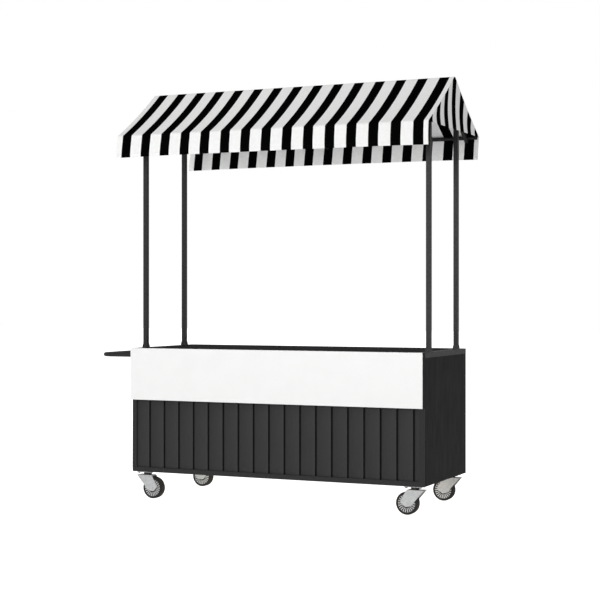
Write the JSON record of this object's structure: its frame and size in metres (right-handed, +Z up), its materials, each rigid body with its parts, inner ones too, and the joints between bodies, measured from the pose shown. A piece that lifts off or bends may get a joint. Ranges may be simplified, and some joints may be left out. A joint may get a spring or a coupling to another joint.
{
  "type": "push vending cart",
  "caption": "Push vending cart: black slatted cabinet with a white fascia, counter, corner poles, striped gabled canopy, push handle and swivel casters.",
  "frame": {"origin": "on the floor, under the middle of the whole cart's box", "axes": "+X along the counter away from the push handle, +Y to the seller's side, +Z up"},
  "size_m": [2.128, 0.882, 2.403],
  "materials": {
    "black_steel": "matt black powder coat",
    "charcoal_board": "charcoal painted board with a fine grain",
    "charcoal_top": "satin charcoal laminate",
    "white_laminate": "satin white laminate",
    "zinc": "bright zinc plate",
    "black_fixing": "black oxide",
    "bearing_steel": "ground steel",
    "grey_hub": "moulded grey nylon, ribbed",
    "tyre_rubber": "black rubber tread",
    "striped_canvas": "white canvas with black stripes",
    "birch_ply": "clear sealed birch plywood",
    "catch_plastic": "moulded dark plastic"
  },
  "bodies": {
    "cart": {"base_frame": "black_steel", "corner_posts": "black_steel", "top_frame": "black_steel", "floor_board": "birch_ply", "left_end_panel": "charcoal_board", "right_end_panel": "charcoal_board", "front_backer": "charcoal_board", "front_trim": "charcoal_board", "front_slats": "charcoal_board", "fascia_core": "charcoal_board", "fascia_skin": "white_laminate", "countertop": "charcoal_top", "centre_divider": "birch_ply", "shelves": "birch_ply", "shelf_cleats": "birch_ply", "frame_hinge_leaves": "black_fixing", "hinge_pins": "bearing_steel", "door_catches": "catch_plastic", "end_rails": "black_steel", "pole_spigots": "black_steel", "poles": "black_steel", "pole_sockets": "black_steel", "pole_screws": "black_fixing", "ridge_rail": "black_steel", "eave_rails": "black_steel", "rafters": "black_steel", "canopy_roof_front": "striped_canvas", "canopy_roof_rear": "striped_canvas", "front_valance": "striped_canvas", "rear_valance": "striped_canvas", "gable_panels": "striped_canvas", "push_handle": "black_steel", "handle_flanges": "black_steel", "m8_bolts": "zinc", "caster_plates": "zinc", "kingpins": "zinc", "race_balls": "bearing_steel"},
    "left_door": {"left_door": "charcoal_board", "left_door_hinge_leaves": "black_fixing", "left_door_pull": "black_steel"},
    "right_door": {"right_door": "charcoal_board", "right_door_hinge_leaves": "black_fixing", "right_door_pull": "black_steel"},
    "front_left_swivel": {"front_left_fork": "zinc", "front_left_axle": "zinc"},
    "front_left_wheel": {"front_left_hub": "grey_hub", "front_left_tyre": "tyre_rubber"},
    "front_right_swivel": {"front_right_fork": "zinc", "front_right_axle": "zinc"},
    "front_right_wheel": {"front_right_hub": "grey_hub", "front_right_tyre": "tyre_rubber"},
    "rear_left_swivel": {"rear_left_fork": "zinc", "rear_left_axle": "zinc"},
    "rear_left_wheel": {"rear_left_hub": "grey_hub", "rear_left_tyre": "tyre_rubber"},
    "rear_right_swivel": {"rear_right_fork": "zinc", "rear_right_axle": "zinc"},
    "rear_right_wheel": {"rear_right_hub": "grey_hub", "rear_right_tyre": "tyre_rubber"}
  },
  "joints": [
    {"name": "left_door_hinge", "type": "hinge", "parent": "cart", "child": "left_door", "pos_m": [-0.773, 0.366, 0.503], "axis": [0, 0, 1], "range_deg": [0, 110]},
    {"name": "right_door_hinge", "type": "hinge", "parent": "cart", "child": "right_door", "pos_m": [0.995, 0.366, 0.503], "axis": [0, 0, -1], "range_deg": [0, 110]},
    {"name": "front_left_swivel", "type": "hinge", "parent": "cart", "child": "front_left_swivel", "pos_m": [-0.719, -0.304, 0.139], "axis": [0, 0, 1], "continuous": true},
    {"name": "front_left_roll", "type": "hinge", "parent": "front_left_swivel", "child": "front_left_wheel", "pos_m": [-0.677, -0.304, 0.0625], "axis": [0, 1, 0], "continuous": true},
    {"name": "front_right_swivel", "type": "hinge", "parent": "cart", "child": "front_right_swivel", "pos_m": [0.941, -0.304, 0.139], "axis": [0, 0, 1], "continuous": true},
    {"name": "front_right_roll", "type": "hinge", "parent": "front_right_swivel", "child": "front_right_wheel", "pos_m": [0.899, -0.304, 0.0625], "axis": [0, 1, 0], "continuous": true},
    {"name": "rear_left_swivel", "type": "hinge", "parent": "cart", "child": "rear_left_swivel", "pos_m": [-0.719, 0.304, 0.139], "axis": [0, 0, 1], "continuous": true},
    {"name": "rear_left_roll", "type": "hinge", "parent": "rear_left_swivel", "child": "rear_left_wheel", "pos_m": [-0.677, 0.304, 0.0625], "axis": [0, 1, 0], "continuous": true},
    {"name": "rear_right_swivel", "type": "hinge", "parent": "cart", "child": "rear_right_swivel", "pos_m": [0.941, 0.304, 0.139], "axis": [0, 0, 1], "continuous": true},
    {"name": "rear_right_roll", "type": "hinge", "parent": "rear_right_swivel", "child": "rear_right_wheel", "pos_m": [0.899, 0.304, 0.0625], "axis": [0, 1, 0], "continuous": true}
  ]
}
